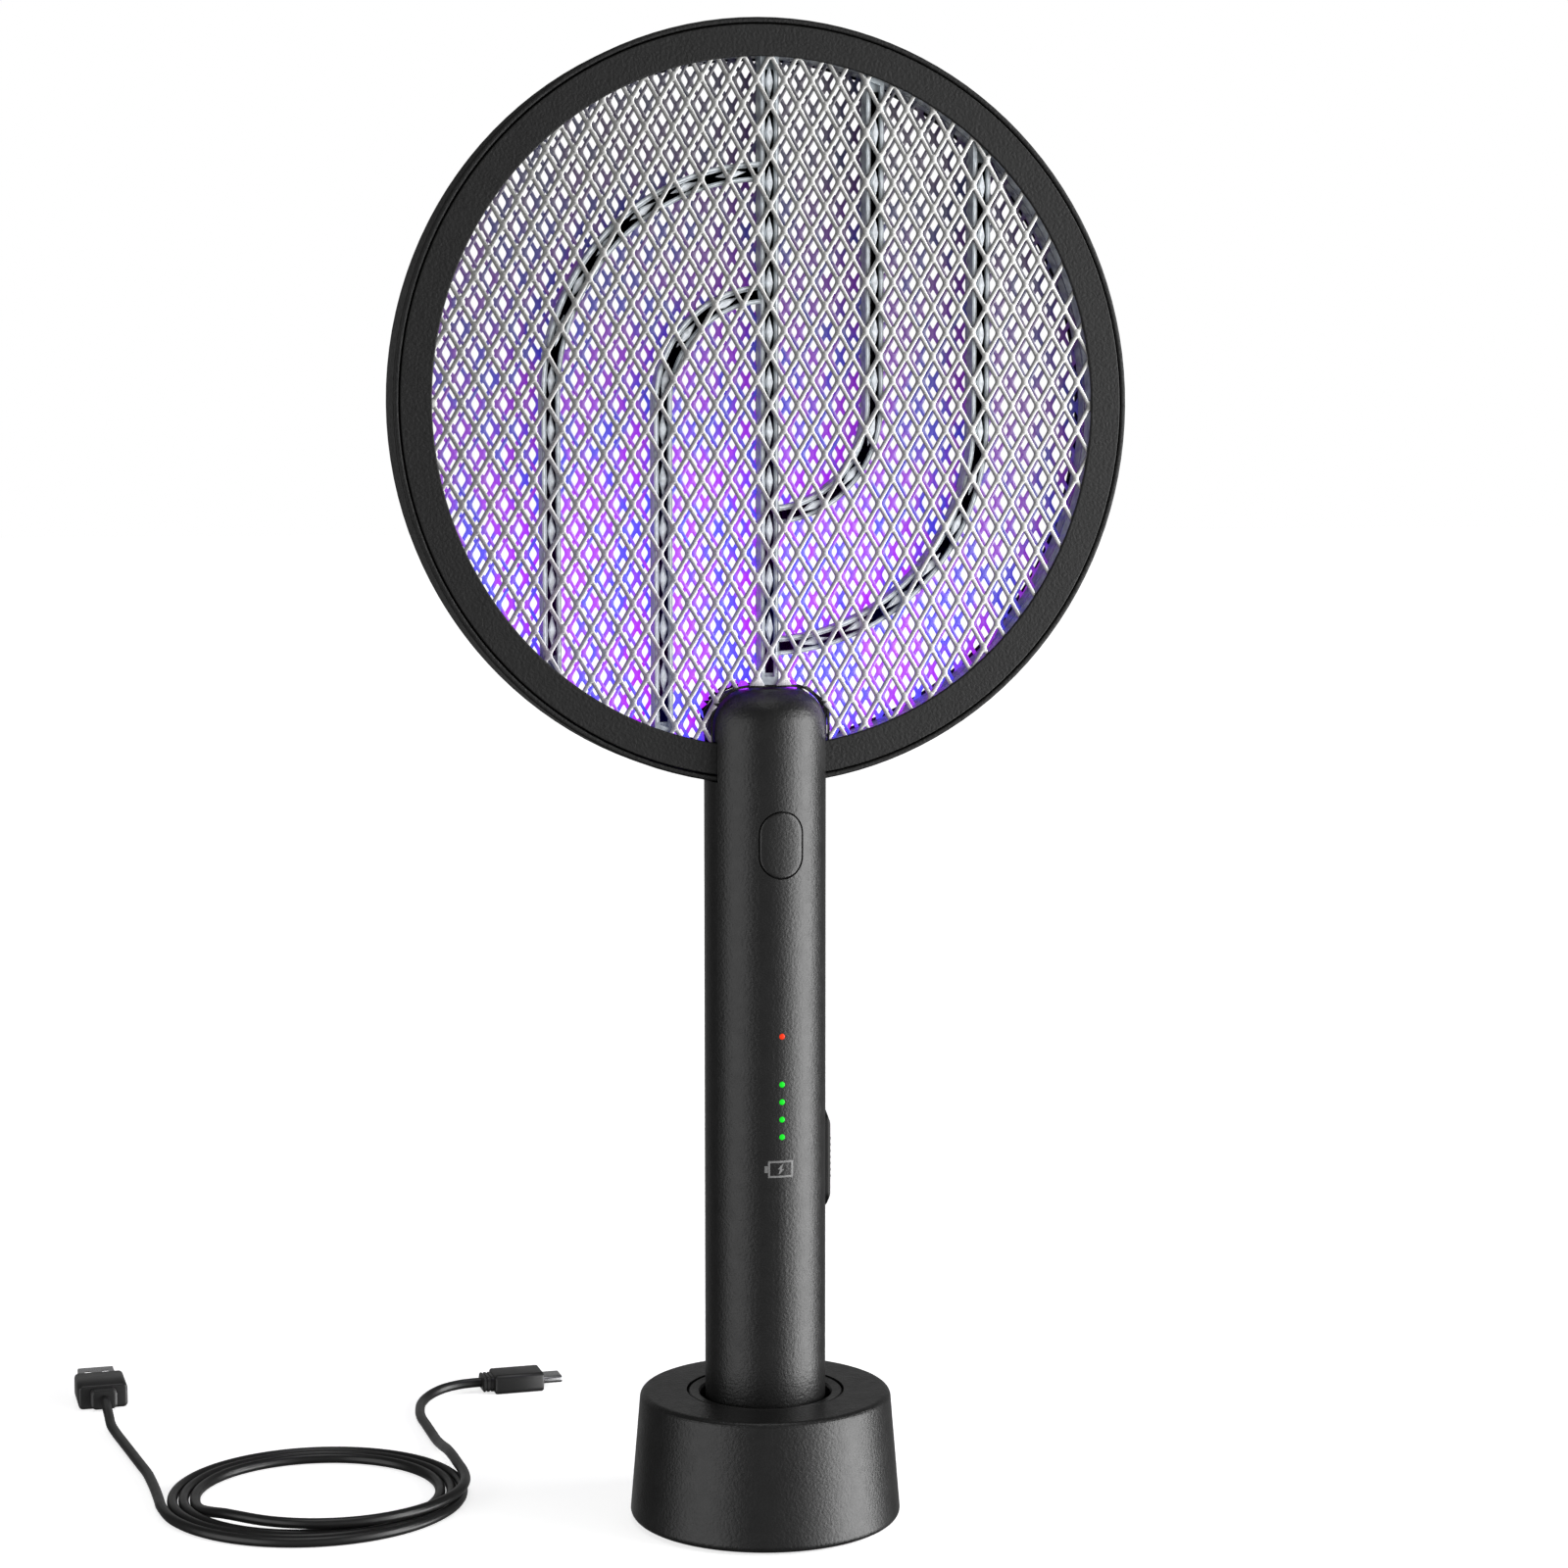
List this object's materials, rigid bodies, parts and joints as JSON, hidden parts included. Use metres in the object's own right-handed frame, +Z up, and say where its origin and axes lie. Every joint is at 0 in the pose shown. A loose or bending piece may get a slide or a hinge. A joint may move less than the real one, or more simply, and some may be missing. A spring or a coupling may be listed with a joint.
{
  "type": "electric fly swatter",
  "caption": "Handheld electric fly swatter: round expanded-metal head in a black rim, tubular handle with power button and indicator lights, standing in a round charging dock, with USB lead.",
  "frame": {"origin": "middle of the dock's underside, on the surface it stands on", "axes": "+Z up along the handle, -Y out of the front face with the button and lights, +X towards the side switch"},
  "size_m": [0.2997, 0.2407, 0.4426],
  "materials": {
    "rim_plastic": "fine leather grain, satin",
    "mesh_metal": "bright expanded metal",
    "rib_plastic": "smoky grey, half clear",
    "uv_lens": "clear, lit violet",
    "board": "green solder mask",
    "wire_red": "insulation",
    "wire_white": "insulation",
    "handle_plastic": "soft satin",
    "screw_steel": "machined",
    "contact_gold": "plated",
    "cell_wrap": "shrink wrap",
    "tab_nickel": "thin strip",
    "coil_tape": "tape wound",
    "capacitor": "dipped",
    "led_lens": "small surface lights",
    "red_lens": "lit red",
    "green_lens": "lit green",
    "button_plastic": "satin",
    "bezel_plastic": "gloss",
    "knob_plastic": "ridged",
    "switch_body": "moulded",
    "spring_steel": "wire",
    "dock_plastic": "soft satin",
    "foot_rubber": "plain",
    "ballast_steel": "raw",
    "port_metal": "nickel",
    "tongue_black": "moulded",
    "tongue_white": "moulded",
    "plug_plastic": "satin",
    "plug_metal": "plated",
    "cord_jacket": "smooth flexible jacket"
  },
  "bodies": {
    "dock": {"dock_shell": "dock_plastic", "dock_collar": "dock_plastic", "dock_base_plate": "dock_plastic", "dock_feet": "foot_rubber", "dock_screws": "screw_steel", "dock_ballast": "ballast_steel", "dock_board": "board", "usb_socket": "port_metal", "usb_socket_tongue": "tongue_black", "pin_barrels": "contact_gold", "pin_spring_left": "spring_steel", "pin_spring_right": "spring_steel", "usb_a_housing": "plug_plastic", "usb_a_shell": "plug_metal", "usb_a_tongue": "tongue_white", "usb_c_housing": "plug_plastic", "usb_c_shell": "plug_metal", "lead_tube_a": "cord_jacket", "lead_tube_c": "cord_jacket", "lead_coil": "cord_jacket"},
    "racket": {"front_rim": "rim_plastic", "rear_rim": "rim_plastic", "rim_screws": "screw_steel", "front_mesh": "mesh_metal", "centre_mesh": "mesh_metal", "rear_mesh": "mesh_metal", "front_spacer": "rib_plastic", "rear_spacer": "rib_plastic", "uv_leds": "uv_lens", "uv_led_board": "board", "hv_leads": "wire_red", "uv_leads": "wire_white", "handle_front": "handle_plastic", "handle_back": "handle_plastic", "handle_end_cap": "handle_plastic", "handle_screws": "screw_steel", "charge_contacts": "contact_gold", "main_board": "board", "board_screws": "screw_steel", "battery_cell": "cell_wrap", "battery_tabs": "tab_nickel", "battery_leads": "wire_red", "hv_transformer": "coil_tape", "hv_capacitors": "capacitor", "indicator_leds": "led_lens", "red_light_pipe": "red_lens", "green_light_pipes": "green_lens", "tact_switch": "switch_body", "button_spring": "spring_steel", "switch_bezel": "bezel_plastic", "slide_switch": "switch_body"},
    "power_button": {"power_button": "button_plastic", "switch_plunger": "switch_body"},
    "mode_switch": {"mode_knob": "knob_plastic"},
    "contact_pin_left": {"contact_pin_left": "contact_gold"},
    "contact_pin_right": {"contact_pin_right": "contact_gold"}
  },
  "joints": [
    {"name": "racket_lift", "type": "slide", "parent": "dock", "child": "racket", "axis": [0, 0, 1], "range_m": [0, 0.06]},
    {"name": "power_button_press", "type": "slide", "parent": "racket", "child": "power_button", "axis": [0, 1, 0], "range_m": [0, 0.0012], "stiffness_N_per_m": 300, "springref_m": -0.0008, "deforming": ["button_spring"]},
    {"name": "mode_switch_slide", "type": "slide", "parent": "racket", "child": "mode_switch", "axis": [0, 0, 1], "range_m": [-0.004, 0.004]},
    {"name": "pin_left_press", "type": "slide", "parent": "dock", "child": "contact_pin_left", "axis": [0, 0, 1], "range_m": [-0.0012, 0], "stiffness_N_per_m": 20, "springref_m": 0.0006, "deforming": ["pin_spring_left"]},
    {"name": "pin_right_press", "type": "slide", "parent": "dock", "child": "contact_pin_right", "axis": [0, 0, 1], "range_m": [-0.0012, 0], "stiffness_N_per_m": 20, "springref_m": 0.0006, "deforming": ["pin_spring_right"]}
  ]
}
